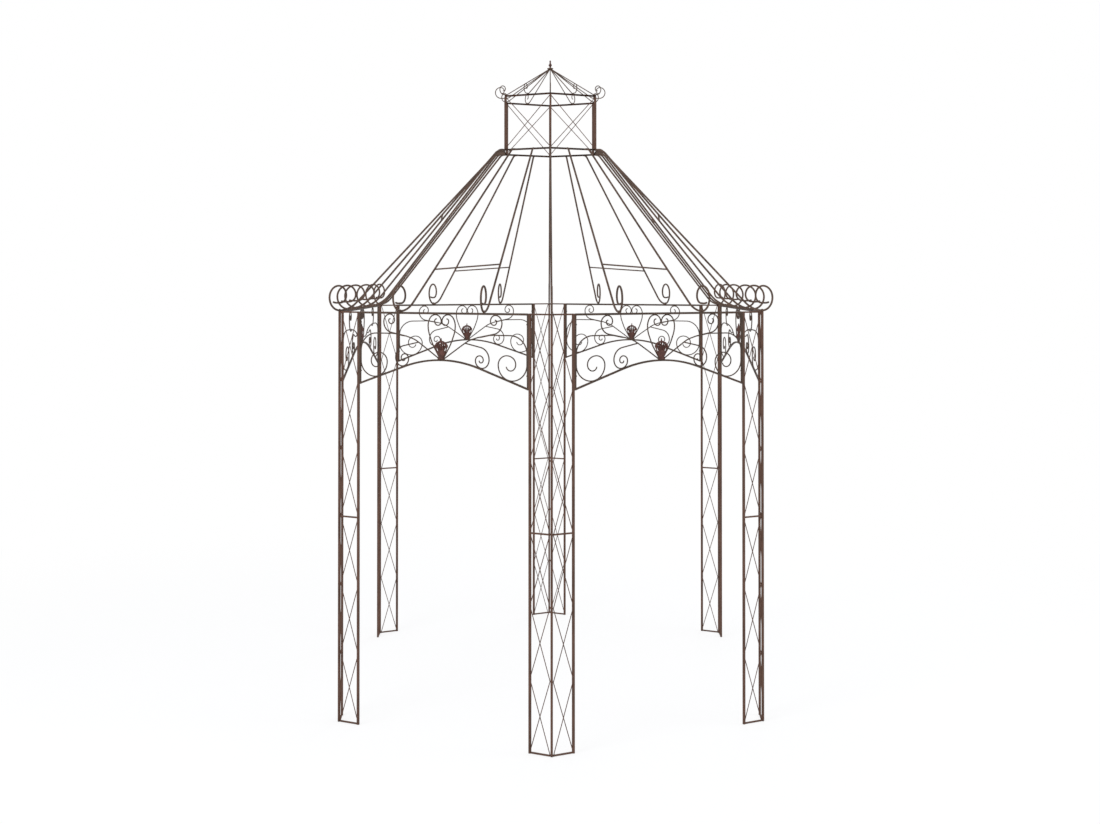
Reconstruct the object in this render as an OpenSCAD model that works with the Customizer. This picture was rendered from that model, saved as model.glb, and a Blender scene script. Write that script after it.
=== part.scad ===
// Iron garden pavilion on an elongated hexagon: six lattice posts, arched scroll
// friezes between them, a rafter roof that curls over the eave, and a small lantern.
// The origin lies on the ground under the finial. The front post faces -Y.

/* [Plan] */
// Length of each of the four slanted bays, post centre to post centre
short_bay = 1420; // [1200:10:1700]
// Length of the two side bays, which run front to back
long_bay = 2366; // [1500:2:2800]

/* [Heights] */
// Top of the posts and of the frieze bars, where the rafters rest
eave_z = 2378; // [2150:1:2800]
// Centre of the lantern's base ring
ring_z = 3395; // [3200:1:4000]
// Height of the lantern, base ring to top ring
lantern_h = 345; // [250:5:450]
// Height of the cap, top ring to the underside of the cap disc
cap_h = 200; // [120:5:300]

/* [Posts and lattices] */
// Side of the square post bar and of the lattices' outer bars
post_bar = 12; // [10:1:20]
// Width of a lattice, from the post's centre to its outer bar's centre
lattice_w = 136; // [110:1:180]
// Side of the lattices' level bars
level_bar = 8; // [6:1:10]
// Gap between the ground and the lowest level bar
foot_gap = 1; // [0:1:50]
// Thickness of the crossed wires
brace_wire = 4; // [3:0.5:5]
// Crossed cells below the middle bar, and as many above it
cells = 3; // [2:1:5]

/* [Friezes] */
// Side of the square bar that frames a frieze
frieze_bar = 10; // [8:1:12]
// Length of a frieze's end bars
frieze_drop = 417; // [370:1:460]
// Rise of the arch in a slanted bay
short_rise = 145; // [125:5:160]
// Rise of the arch in a side bay
long_rise = 185; // [150:5:200]
// Thickness of the scroll wire
scroll_wire = 6; // [5:0.5:7]
// Width of the cast shell on the arch
shell_w = 88; // [70:2:100]
// Thickness of the cast shell
shell_t = 6; // [4:0.5:8]

/* [Roof] */
// Thickness of the rafters
rafter_d = 10; // [8:1:12]
// Distance along a bay from a post to the first rafter
rafter_inset = 430; // [380:5:450]
// Distance between the two rafters of a pair in a side bay
side_pair = 440; // [380:10:500]
// Radius of the bend where a rafter leaves the lantern
top_bend = 60; // [40:5:90]
// Radius of the sweep where a rafter comes level at the eave
eave_bend = 200; // [120:10:260]
// Radius of the first turn of a rafter's curl
curl_r = 80; // [60:1:90]
// Thickness of the ties between paired rafters
tie_d = 8; // [6:1:10]
// How far down the straight of a slanted bay's rafters the tie lies
short_tie_at = 1170; // [900:10:1250]
// How far down the straight of a side bay's rafters the tie lies
long_tie_at = 560; // [400:10:1100]

/* [Lantern] */
// Half the lantern's width, side to side
lantern_half_w = 288; // [250:1:320]
// Length of the lantern's two side faces
lantern_side = 416; // [300:2:460]
// Side of the square bar of the lantern's rings and posts
lantern_bar = 12; // [10:1:14]
// Thickness of the cap's ribs
cap_rib_d = 6; // [5:0.5:8]
// Diameter of the disc that the cap's ribs meet in
disc_d = 40; // [36:1:60]
// Thickness of the cap disc
disc_t = 8; // [6:1:12]
// Diameter of the finial's ball
ball_d = 22; // [18:1:36]
// Height of the finial above the cap disc
finial_h = 52; // [46:1:90]

/* [Hidden] */
// Gap left where two pieces that are welded or screwed together meet
fit = 0.2;
// Depth to which a wire sinks into the bar it is welded to
weld = 0.6;
// Most that one chord of a bent bar turns, in degrees
chord_turn = 10;
// Sides of the straight wires' and ties' sections
brace_sides = 6;
tie_sides = 12;
round_fn = 72;
iron = "#4b3b33";

POSTS = ["front", "front_right", "back_right", "back", "back_left", "front_left"];
BAYS = ["front_right", "right", "back_right", "back_left", "left", "front_left"];
SHORT_BAYS = [0, 2, 3, 5];
LONG_BAYS = [1, 4];
PAIR_ENDS = ["front", "back"];

// ---- The two plans: the eave and the lantern ----

// Corners of a hexagon with 120 degree corners and two sides along Y, from the front
function hexagon(half_w, side) =
    let (near = side / 2, far = near + half_w * tan(30))
    [[0, -far], [half_w, -near], [half_w, near], [0, far], [-half_w, near], [-half_w, -near]];

// The same hexagon with every side moved outwards by a distance
function grown_hexagon(half_w, side, by) = hexagon(half_w + by, side + 2 * by * tan(30));

function next(i) = (i + 1) % 6;
function bay_length(i) = i % 3 == 1 ? long_bay : short_bay;
function along(list, i, share) = list[i] * (1 - share) + list[next(i)] * share;
function heading(v) = atan2(v[1], v[0]);
function bay_heading(i) = heading(corners[next(i)] - corners[i]);
function corner_heading(i) = 60 * i - 90;

half_w = short_bay * cos(30);
corners = hexagon(half_w, long_bay);
lantern_corners = hexagon(lantern_half_w, lantern_side);
top_ring_z = ring_z + lantern_h;

// ---- Bent bars: a chain of straights [0, length] and arcs [radius, degrees] ----
// A positive radius turns left, a negative one right. A chain lies flat in the XY plane.

function turn(step) = step[0] == 0 ? 0 : sign(step[0]) * step[1];
function centre(p, h, radius) = p + radius * [-sin(h), cos(h)];
function step_end(p, h, step) =
    step[0] == 0
    ? p + step[1] * [cos(h), sin(h)]
    : let (g = h + turn(step)) centre(p, h, step[0]) + step[0] * [sin(g), -cos(g)];

// Points [x, y, heading] along a chain, with arcs cut into short chords
function chords(step) = step[0] == 0 ? 1 : ceil(step[1] / chord_turn);
function step_point(p, h, step, k) =
    k == 0 ? [p[0], p[1], h]
    : let (g = h + turn(step) * k / chords(step), q = centre(p, h, step[0]))
      [q[0] + step[0] * sin(g), q[1] - step[0] * cos(g), g];
function chain_points(p, h, steps, i = 0) =
    i == len(steps) ? [[p[0], p[1], h]]
    : concat([for (k = [0:chords(steps[i]) - 1]) step_point(p, h, steps[i], k)],
             chain_points(step_end(p, h, steps[i]), h + turn(steps[i]), steps, i + 1));
function beside(points, by) = [for (s = points) [s[0] - by * sin(s[2]), s[1] + by * cos(s[2])]];
function backwards(list) = [for (i = [len(list) - 1:-1:0]) list[i]];

module bent_bar(p, h, steps, width) {
    points = chain_points(p, h, steps);
    polygon(concat(beside(points, width / 2), backwards(beside(points, -width / 2))));
}

// A straight wire or tie between two points in space
module bar(a, b, d, sides) {
    v = b - a;
    translate(a) rotate([0, atan2(norm([v[0], v[1]]), v[2]), heading(v)])
        cylinder(d = d, h = norm(v), $fn = sides);
}

// ---- Curves through nodes [x, y, heading], each pair joined by two arcs ----

function wrap(a) = a - 360 * floor((a + 180) / 360);
function arc_to(a, h, b) =
    let (v = b - a, off = wrap(heading(v) - h))
    abs(off) < 0.05 ? [0, norm(v)] : [norm(v) / (2 * sin(off)), 2 * abs(off)];
function two_arcs(a, b) =
    let (
        p = [a[0], a[1]],
        q = [b[0], b[1]],
        t = [cos(a[2]), sin(a[2])],
        u = [cos(b[2]), sin(b[2])],
        v = q - p,
        k = 2 * (1 - t * u),
        s = v * (t + u),
        reach = k < 0.000001 ? v * v / (4 * (v * u)) : (sqrt(s * s + k * (v * v)) - s) / k,
        middle = (p + q + reach * (t - u)) / 2,
        first = arc_to(p, a[2], middle))
    [first, arc_to(middle, a[2] + turn(first), q)];
function curve_steps(nodes) =
    [for (i = [0:1:len(nodes) - 2]) for (step = two_arcs(nodes[i], nodes[i + 1])) step];

module curve(nodes, width) {
    bent_bar([nodes[0][0], nodes[0][1]], nodes[0][2], curve_steps(nodes), width);
}

// ---- Posts and lattices ----

// Where a bar of some width that leaves a post at a 120 degree corner clears the post
function clear_of_post(width) = (post_bar / 2 + width / 2 * sin(30)) / cos(30) + fit;

module post(i) {
    color(iron) translate(corners[i]) rotate(corner_heading(i))
        translate([-post_bar / 2, -post_bar / 2, 0])
            cube([post_bar, post_bar, eave_z]);
}

// A lattice in its own plane: X away from the post, Y up
module lattice() {
    inner = clear_of_post(level_bar);
    wire_x = clear_of_post(brace_wire) + brace_wire / 2;
    foot_bar_z = foot_gap + level_bar / 2;
    top_bar_z = eave_z - level_bar / 2;
    middle_z = (foot_bar_z + top_bar_z) / 2;
    cell_h = (middle_z - foot_bar_z) / cells;
    tack = 4 * brace_wire;
    square_x = lattice_w - post_bar / 2;
    translate([square_x, 0, -post_bar / 2]) cube([post_bar, eave_z, post_bar]);
    for (z = [foot_bar_z, middle_z, top_bar_z])
        translate([inner, z - level_bar / 2, -level_bar / 2])
            cube([square_x + 1 - inner, level_bar, level_bar]);
    for (k = [0:2 * cells - 1]) {
        low = foot_bar_z + k * cell_h;
        bar([wire_x, low, 0], [lattice_w, low + cell_h, 0], brace_wire, brace_sides);
        bar([wire_x, low + cell_h, 0], [lattice_w, low, 0], brace_wire, brace_sides);
    }
    for (k = [1:2 * cells - 1])
        if (k != cells)
            bar([wire_x, foot_bar_z + k * cell_h - tack / 2, 0],
                [wire_x, foot_bar_z + k * cell_h + tack / 2, 0], brace_wire, brace_sides);
}

// side 1 lies along the bay that starts at the post, side -1 along the one that ends there
module placed_lattice(i, side) {
    h = side > 0 ? bay_heading(i) : bay_heading((i + 5) % 6) + 180;
    color(iron) translate(corners[i]) rotate(h) rotate([90, 0, 0]) lattice();
}

// ---- Friezes, drawn in the bay's own plane: X along the bay, Y up from the eave ----

function frieze_half(i) = bay_length(i) / 2 - lattice_w - post_bar / 2 - frieze_bar / 2 - fit;
function rise_of(i) = i % 3 == 1 ? long_rise : short_rise;

// The arch: straight from each end bar, rounded over the middle
function arch_slope(i) = atan(1.3 * rise_of(i) / frieze_half(i));
function arch_round(i) =
    let (g = arch_slope(i))
    (frieze_half(i) * tan(g) - rise_of(i)) / (tan(g) - tan(g / 2));
function arch_radius(i) = arch_round(i) / sin(arch_slope(i));
function arch_y(i, x) =
    let (r = arch_radius(i), g = arch_slope(i), low = frieze_bar / 2 - frieze_drop)
    abs(x) < arch_round(i)
    ? low + rise_of(i) - r + sqrt(r * r - x * x)
    : low + (frieze_half(i) - abs(x)) * tan(g);

module frieze_frame(i) {
    x = frieze_half(i);
    g = arch_slope(i);
    run = (x - arch_round(i)) / cos(g);
    for (side = [-1, 1])
        translate([side * x - frieze_bar / 2, -frieze_drop]) square([frieze_bar, frieze_drop]);
    translate([-x, -frieze_bar]) square([2 * x, frieze_bar]);
    bent_bar([-x, frieze_bar / 2 - frieze_drop], g,
             [[0, run], [-arch_radius(i), 2 * g], [0, run]], frieze_bar);
}

// The scrolls of one half. Widths follow the bay; curls widen less than their places move.
module half_scrolls(i) {
    stretch = frieze_half(i) / frieze_half(0);
    widen = sqrt(stretch);
    under = -frieze_bar - scroll_wire / 2 + weld;
    on_arch = frieze_bar / 2 + scroll_wire / 2 - weld;
    apex = arch_y(i, 0);
    low_x = 268 * stretch;
    big_x = 460 * stretch;
    edge_x = frieze_half(i) - frieze_bar / 2 - scroll_wire / 2 + weld;
    high_x = 354 * stretch;
    fork = [155 * stretch, -169, 33 / widen];
    spring = [240 * stretch, -136, 13 / widen];
    low_y = arch_y(i, low_x) + on_arch;
    big_y = arch_y(i, big_x) + on_arch;

    // the heart: out from the shell, over the top and into an eye beside the middle
    curve([[8, apex + 2, 62], [66 * widen, -165, 66], [91 * widen, -75, 90],
           [42 * widen, under, 180], [2.6, -50, 270], [24 * widen, -72, 360],
           [47 * widen, -49, 450], [34 * widen, -36, 550]],
          scroll_wire);
    // the long stem from the shell to the upper curl
    curve([[8, apex + 2, 34], fork, spring, [high_x + 42 * widen, -56, 90],
           [high_x, under, 180], [high_x - 32 * widen, -45, 270],
           [high_x - 10 * widen, -67, 360], [high_x + 8 * widen, -49, 450],
           [high_x - 2 * widen, -39, 540]],
          scroll_wire);
    // the branch that falls to the low curl on the arch
    curve([[fork[0], fork[1], -10], [low_x + 45 * widen, low_y + 48, -90],
           [low_x, low_y, -180], [low_x - 44 * widen, low_y + 42, -270],
           [low_x - 17 * widen, low_y + 69, -360], [low_x + 7 * widen, low_y + 46, -450],
           [low_x - 8 * widen, low_y + 30, -540], [low_x - 19 * widen, low_y + 41, -630]],
          scroll_wire);
    // the branch that runs out, down the end bar and into the great curl
    curve([[spring[0], spring[1], 3], [spring[0] + 100 * stretch, -122, 0],
           [450 * stretch, -122, 0], [edge_x, -222, -90],
           [edge_x, big_y + 90, -90], [big_x, big_y, -180],
           [big_x - 88 * widen, big_y + 86, -270], [big_x - 33 * widen, big_y + 138, -360],
           [big_x + 24 * widen, big_y + 90, -450], [big_x - 9 * widen, big_y + 55, -540],
           [big_x - 36 * widen, big_y + 76, -615]],
          scroll_wire);
}

module frieze(i) {
    color(iron) in_bay(i) {
        linear_extrude(frieze_bar, center = true) frieze_frame(i);
        linear_extrude(scroll_wire, center = true) {
            half_scrolls(i);
            mirror([1, 0, 0]) half_scrolls(i);
        }
    }
}

// Stands a drawing on the middle of a bay, facing outwards
module in_bay(i) {
    middle = along(corners, i, 0.5);
    translate([middle[0], middle[1], eave_z]) rotate(bay_heading(i)) rotate([90, 0, 0])
        children();
}

// The cast shell, on the outside of the arch's crown, drawn 88 mm wide: a cup, ribs that
// fan out of it, a rim of lobes that swells between the ribs' tips, and a point on top
module shell(i) {
    tips = [for (k = [-3:3]) [-42 * sin(28 * k), 62 + 42 * cos(28 * k)]];
    cup = [[19, 0], [21.3, 4], [18.3, 10], [19.4, 20], [22.1, 34], [23.9, 46], [20, 56]];
    s = shell_w / 88;
    color("#5a463b") in_bay(i)
        translate([0, arch_y(i, 0) - frieze_bar / 2, frieze_bar / 2 + fit]) {
            linear_extrude(shell_t)
                polygon(s * concat(cup, backwards([for (p = cup) [-p[0], p[1]]])));
            for (k = [-3:3])
                shell_layer(0.5) rib(s * [-17 * sin(28 * k), 46], s * tips[k + 3]);
            for (k = [0:5])
                shell_layer(0.9) lobe(s * tips[k], s * tips[k + 1]);
            for (p = tips)
                shell_layer(0.2) translate(s * p) circle(d = 6.4, $fn = 12);
            shell_layer(0.7) polygon(s * [[-5, 98], [5, 98], [0, 127]]);
        }
}

// A layer of the shell, set back a little on both faces
module shell_layer(back) {
    translate([0, 0, back]) linear_extrude(shell_t - 2 * back) children();
}

module rib(a, b) {
    bent_bar(a, heading(b - a), [[0, norm(b - a)]], 4.6);
}

module lobe(a, b) {
    swell = 62;
    bent_bar(a, heading(b - a) - swell, [[norm(b - a) / 2 / sin(swell), 2 * swell]], 6);
}

// ---- Rafters ----

rafter_axis_z = eave_z + rafter_d / 2 + fit;

// The slope of a rafter that runs out by run and comes down by drop
function rafter_slope(run, drop) =
    let (a = run, b = drop - top_bend - eave_bend)
    atan2(b, a) + asin((top_bend + eave_bend) / norm([a, b]));
function rafter_straight(run, drop) =
    let (g = rafter_slope(run, drop))
    (drop - (top_bend + eave_bend) * (1 - cos(g))) / sin(g);

drop = ring_z - rafter_axis_z;
stub = 25;

// A rafter whose level stub starts at a, under the lantern, and whose foot rests at b
module rafter(a, b) {
    run = norm(b - a) - stub;
    g = rafter_slope(run, drop);
    translate([a[0], a[1], ring_z]) rotate(heading(b - a)) rotate([90, 0, 0])
        linear_extrude(rafter_d, center = true)
            bent_bar([0, 0], 0,
                     [[0, stub], [-top_bend, g], [0, rafter_straight(run, drop)], [eave_bend, g],
                      [curl_r, 90], [curl_r * 0.9, 90], [curl_r * 0.72, 90], [curl_r * 0.5, 75]],
                     rafter_d);
}

// A point on the axis of the rafter's straight, some way down it
function rafter_point(a, b, s) =
    let (
        run = norm(b - a) - stub,
        g = rafter_slope(run, drop),
        out = stub + top_bend * sin(g) + s * cos(g),
        down = top_bend * (1 - cos(g)) + s * sin(g),
        way = (b - a) / norm(b - a))
    [a[0] + out * way[0], a[1] + out * way[1], ring_z - down];

// Where a rafter that heads from a ring point towards the eave point clears the ring's bar
function clear_of_ring(p, b, skew) =
    p + (b - p) / norm(b - p)
        * ((lantern_bar / 2 + rafter_d / 2 * sin(skew)) / cos(skew) + fit);
function skew_in_bay(i, p, b) = abs(wrap(heading(b - p) - bay_heading(i) + 90));

// A hip rafter meets the ring on its corner
function hip_top(i) =
    let (p = lantern_corners[i], v = corners[i] - p)
    p + v / norm(v) * (lantern_bar / 2 / cos(30) * cos(heading(v) - corner_heading(i)) + fit);

module hip_rafter(i) {
    color(iron) rafter(hip_top(i), corners[i]);
}

// Shares along the eave and along the ring of the two rafters of a slanted bay, counted
// from the bay's end at the front or back post
ring_shares = [0.35, 0.75];
function short_share(i, k) =
    let (s = k == 0 ? rafter_inset / short_bay : 1 - rafter_inset / short_bay)
    i % 3 == 0 ? s : 1 - s;
function short_ring_share(i, k) = i % 3 == 0 ? ring_shares[k] : 1 - ring_shares[k];
function long_share(k) = (k == 0 ? rafter_inset : rafter_inset + side_pair) / long_bay;

function bay_foot(i, share) = along(corners, i, share);
function bay_top(i, ring_share, share) =
    let (p = along(lantern_corners, i, ring_share), b = bay_foot(i, share))
    clear_of_ring(p, b, skew_in_bay(i, p, b));

// Two rafters and the tie between them
module rafter_pair(i, shares, ring_shares, tie_at) {
    feet = [for (s = shares) bay_foot(i, s)];
    tops = [for (k = [0, 1]) bay_top(i, ring_shares[k], shares[k])];
    color(iron) {
        for (k = [0, 1])
            rafter(tops[k], feet[k]);
        bar(rafter_point(tops[0], feet[0], tie_at), rafter_point(tops[1], feet[1], tie_at),
            tie_d, tie_sides);
    }
}

module short_pair(i) {
    rafter_pair(i, [for (k = [0, 1]) short_share(i, k)],
                [for (k = [0, 1]) short_ring_share(i, k)], short_tie_at);
}

module long_pair(i, end) {
    from_start = (BAYS[i] == "right") == (PAIR_ENDS[end] == "front");
    shares = [for (k = [0, 1]) from_start ? long_share(k) : 1 - long_share(k)];
    rafter_pair(i, shares, shares, long_tie_at);
}

// ---- Lantern ----

module ring(z, width) {
    translate([0, 0, z - width / 2]) linear_extrude(width) difference() {
        polygon(grown_hexagon(lantern_half_w, lantern_side, width / 2));
        polygon(grown_hexagon(lantern_half_w, lantern_side, -width / 2));
    }
}

module lantern_base_ring() {
    color(iron) ring(ring_z, lantern_bar);
}

module lantern_frame() {
    foot = ring_z + lantern_bar / 2 + fit;
    color(iron) {
        ring(top_ring_z, lantern_bar);
        for (i = [0:5]) {
            a = lantern_corners[i];
            b = lantern_corners[next(i)];
            low = foot + brace_wire;
            translate([a[0], a[1], foot])
                rotate(corner_heading(i)) translate([-lantern_bar / 2, -lantern_bar / 2, 0])
                    cube([lantern_bar, lantern_bar, top_ring_z - foot]);
            bar([a[0], a[1], low], [b[0], b[1], top_ring_z], brace_wire, brace_sides);
            bar([b[0], b[1], low], [a[0], a[1], top_ring_z], brace_wire, brace_sides);
        }
    }
}

cap_rib_z = top_ring_z + lantern_bar / 2 + cap_rib_d / 2 + fit;
disc_z = top_ring_z + cap_h;
cap_bend = 40;
cap_curl = 32;

// A cap rib from the disc's middle down to the ring at b, then level and into a curl
module cap_rib(b) {
    drop = disc_z + disc_t / 2 - cap_rib_z;
    a = norm(b);
    c = drop - cap_bend;
    g = atan2(c, a) + asin(cap_bend / norm([a, c]));
    slope = (drop - cap_bend * (1 - cos(g))) / sin(g);
    translate([0, 0, disc_z + disc_t / 2]) rotate(heading(b)) rotate([90, 0, 0])
        linear_extrude(cap_rib_d, center = true)
            bent_bar([0, 0], -g,
                     [[0, slope], [cap_bend, g], [0, 25], [cap_curl, 90],
                      [cap_curl * 0.9, 90], [cap_curl * 0.7, 90], [cap_curl * 0.45, 80]],
                     cap_rib_d);
}

module lantern_cap() {
    color(iron) {
        translate([0, 0, disc_z]) cylinder(d = disc_d, h = disc_t, $fn = round_fn);
        for (i = [0:5]) {
            cap_rib(lantern_corners[i]);
            cap_rib(along(lantern_corners, i, 0.5));
        }
    }
}

module finial() {
    neck_d = ball_d * 0.4;
    ball_z = finial_h * 0.36;
    color(iron) translate([0, 0, disc_z + disc_t + fit])
        rotate_extrude($fn = round_fn) {
            intersection() {
                translate([0, ball_z]) circle(d = ball_d, $fn = round_fn);
                square([ball_d, finial_h]);
            }
            polygon([[0, 0], [neck_d, 0], [neck_d / 2, ball_z - ball_d / 2 + 2],
                     [neck_d / 2, ball_z + ball_d / 2], [1.2, finial_h], [0, finial_h]]);
        }
}

for (i = [0:5]) {
    post(i);
    placed_lattice(i, -1);
    placed_lattice(i, 1);
    frieze(i);
    shell(i);
    hip_rafter(i);
}
for (i = SHORT_BAYS)
    short_pair(i);
for (i = LONG_BAYS)
    for (e = [0, 1])
        long_pair(i, e);
lantern_base_ring();
lantern_frame();
lantern_cap();
finial();
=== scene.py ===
# %% [markdown]
# # An iron garden pavilion
#
# The real thing is a walk-in garden pavilion: six slim lattice posts, an arched
# frieze of hand-bent scrolls between each two, a roof of bent rafters that curl over
# the eave, and a small lantern on top. All of it is steel bar and wire in one brown
# paint. This lesson loads the measured frame, then makes each kind of bar again with
# its rounded edges, welds and bolts, and finishes them in paint.

# %% Load the frame
import math

import bmesh
import bpy
from mathutils import Matrix, Vector


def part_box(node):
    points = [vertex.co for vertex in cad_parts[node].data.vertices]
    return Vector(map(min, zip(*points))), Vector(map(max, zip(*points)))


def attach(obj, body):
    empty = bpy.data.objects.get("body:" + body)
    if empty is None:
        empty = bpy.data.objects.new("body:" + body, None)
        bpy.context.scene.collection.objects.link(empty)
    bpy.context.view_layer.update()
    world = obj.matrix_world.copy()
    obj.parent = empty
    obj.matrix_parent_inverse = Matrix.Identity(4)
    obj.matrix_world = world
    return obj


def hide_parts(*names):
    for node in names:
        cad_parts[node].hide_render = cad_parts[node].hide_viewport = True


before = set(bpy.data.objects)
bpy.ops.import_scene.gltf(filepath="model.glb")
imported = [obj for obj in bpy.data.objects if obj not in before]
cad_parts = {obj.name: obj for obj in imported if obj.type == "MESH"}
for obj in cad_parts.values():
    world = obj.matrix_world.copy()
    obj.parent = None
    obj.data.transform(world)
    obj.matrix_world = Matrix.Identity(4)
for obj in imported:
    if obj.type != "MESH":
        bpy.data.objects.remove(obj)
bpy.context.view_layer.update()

# %% [markdown]
# ## Shader nodes
#
# The world, the floor and the paints are all made of shader nodes. They could be wired
# line by line. One small function adds a node and fills its sockets, so that a cell
# reads like the picture of its nodes.

# %% Adding a node
def add_node(tree, kind, *first, how=None, **named):
    """Adds a shader node with some properties, how. Its first sockets in their order,
    and named ones, with _ for a space, get a value or a link to an output."""
    node = tree.nodes.new("ShaderNode" + kind)
    for name, value in (how or {}).items():
        setattr(node, name, value)
    for key, value in [*enumerate(first), *named.items()]:
        socket = node.inputs[key if isinstance(key, int) else key.replace("_", " ")]
        if isinstance(value, bpy.types.NodeSocket):
            tree.links.new(value, socket)
        else:
            socket.default_value = value
    return node


# %% [markdown]
# ## The studio
#
# The pavilion stands on a white floor in soft light. The world gives an even, slightly
# blue light from all sides, as an overcast sky does. A sky picture could do it too, but
# it would show behind the bars. So a Light Path node tells the camera's own rays from
# the rest, and they meet plain white.

# %% Colour management and world
WORLD_LIGHT = (0.93, 0.95, 1.0, 1.0)
WORLD_STRENGTH = 0.75
WHITE = (1.0, 1.0, 1.0, 1.0)

scene = bpy.context.scene
scene.view_settings.view_transform = "Standard"
world = bpy.data.worlds.new("studio_world")
world.use_nodes = True
scene.world = world
sky = world.node_tree.nodes["Background"]
sky.inputs["Color"].default_value = WORLD_LIGHT
sky.inputs["Strength"].default_value = WORLD_STRENGTH
seen = add_node(world.node_tree, "Background", Color=WHITE, Strength=1.0)
ray = add_node(world.node_tree, "LightPath")
choose = add_node(world.node_tree, "MixShader", ray.outputs["Is Camera Ray"],
                  sky.outputs["Background"], seen.outputs["Background"])
world.node_tree.links.new(choose.outputs["Shader"],
                          world.node_tree.nodes["World Output"].inputs["Surface"])
print("world strength", WORLD_STRENGTH)

# %% [markdown]
# ## The floor
#
# The floor is only there to catch a soft shadow. As a plain matt sheet it would show as
# a grey disc under the white sky. So to the camera it is mostly white light, and only a
# small share of it is a matt surface that answers to the lamps. That share fades away
# from the middle, so no edge shows.

# %% Floor
FLOOR_RADIUS = 70.0
FLOOR_DROP = 0.001
FLOOR_WHITE = (0.92, 0.92, 0.92, 1.0)
SHADE_SHARE = 0.22
FADE_FROM = 2.0
FADE_TO = 7.0


def floor_material():
    """White: mostly plain white to the camera, with a share that shows shadows."""
    material = bpy.data.materials.new("studio_floor")
    material.use_nodes = True
    tree = material.node_tree
    tree.nodes.clear()
    matt = add_node(tree, "BsdfDiffuse", Color=FLOOR_WHITE)
    white = add_node(tree, "Emission", Color=WHITE)
    place = add_node(tree, "TexCoord")
    away = add_node(tree, "VectorMath", place.outputs["Object"], how={"operation": "LENGTH"})
    fade = add_node(tree, "MapRange", how={"interpolation_type": "SMOOTHSTEP"},
                    Value=away.outputs["Value"], From_Min=FADE_FROM, From_Max=FADE_TO,
                    To_Min=1.0 - SHADE_SHARE, To_Max=1.0)
    path = add_node(tree, "LightPath")
    share = add_node(tree, "Math", path.outputs["Is Camera Ray"], fade.outputs["Result"],
                     how={"operation": "MULTIPLY"})
    mix = add_node(tree, "MixShader", share.outputs["Value"], matt.outputs["BSDF"],
                   white.outputs["Emission"])
    add_node(tree, "OutputMaterial", Surface=mix.outputs["Shader"])
    return material


floor_bm = bmesh.new()
bmesh.ops.create_circle(floor_bm, cap_ends=True, radius=FLOOR_RADIUS, segments=64,
                        matrix=Matrix.Translation((0.0, 0.0, -FLOOR_DROP)))
floor_mesh = bpy.data.meshes.new("studio_floor")
floor_bm.to_mesh(floor_mesh)
floor_bm.free()
floor = bpy.data.objects.new("studio_floor", floor_mesh)
floor_mesh.materials.append(floor_material())
scene.collection.objects.link(floor)
print("floor", 2 * FLOOR_RADIUS, "m across")

# %% [markdown]
# Three broad square lamps light the bars. The strongest, at the left front, gives them a
# lit side, and the two at the right and behind keep their dark sides readable. Broad
# lamps were chosen over a sun, because on thin bars a hard light only makes sparkle.

# %% Lamps
LAMP_SIZE = 4.0
MIDDLE = (0.0, 0.0, 2.0)


def lamp(name, place, power):
    """A broad square lamp that looks at the pavilion's middle."""
    data = bpy.data.lights.new(name, "AREA")
    data.size = LAMP_SIZE
    data.energy = power
    obj = bpy.data.objects.new(name, data)
    obj.location = place
    aim = Vector(MIDDLE) - Vector(place)
    obj.rotation_euler = aim.to_track_quat("-Z", "Y").to_euler()
    scene.collection.objects.link(obj)
    print(name, power, "W")


lamp("front_lamp", (-5.5, -7.5, 6.5), 420.0)
lamp("side_lamp", (7.5, -2.5, 4.5), 170.0)
lamp("back_lamp", (2.0, 8.0, 6.0), 200.0)

# %% [markdown]
# ## The camera
#
# It stands well back in front of the front post, higher than a person's head, with a
# normal lens. It could be tilted down to frame the pavilion, but then the posts would
# lean apart at the top. So it is almost level, and the lens is shifted down instead, as
# an architectural photographer does, and the posts stay upright in the view.

# %% Camera
LENS = 53.56
LENS_SHIFT = -0.14
CAMERA_PLACE = (-0.045, -10.713, 2.568)
CAMERA_UP = math.radians(0.721)
CAMERA_TURN = math.radians(-0.233)

camera_data = bpy.data.cameras.new("camera")
camera_data.sensor_width = 36.0
camera_data.lens = LENS
camera_data.shift_y = LENS_SHIFT
camera_data.clip_end = 200.0
camera = bpy.data.objects.new("camera", camera_data)
camera.location = CAMERA_PLACE
camera.rotation_euler = (math.radians(90.0) + CAMERA_UP, 0.0, CAMERA_TURN)
scene.collection.objects.link(camera)
scene.camera = camera
print("camera", CAMERA_PLACE, "lens", LENS, "mm")

# %% [markdown]
# ## Paint
#
# The bars are steel in an antique brown paint: a dark brown coat, brushed over with a
# redder brown that catches on the high spots, and rubbed thin in places. It could be
# one flat colour, but then every bar would look like plastic. So broad clouds of noise
# shift the coat between two browns, fine noise lays the brushed red on in flecks, and
# the same fine noise dulls and lifts the surface a little, as dry paint does. One recipe
# makes four finishes: square bar, round rod, thin scroll wire, and the castings, which
# are the reddest.

# %% Paint finish
COAT_DARK = (0.076, 0.043, 0.03)
COAT_BROWN = (0.117, 0.063, 0.044)
RUST_RED = (0.175, 0.08, 0.05)
DULL_SHEEN = 0.16
COAT_FROM, COAT_TO = 0.36, 0.62
FLECK_FROM, FLECK_TO = 0.5, 0.7
DULL_FROM, DULL_TO = 0.3, 0.7
ROUGH_FROM, ROUGH_TO = 0.55, 0.82
BUMP = 0.35


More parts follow.
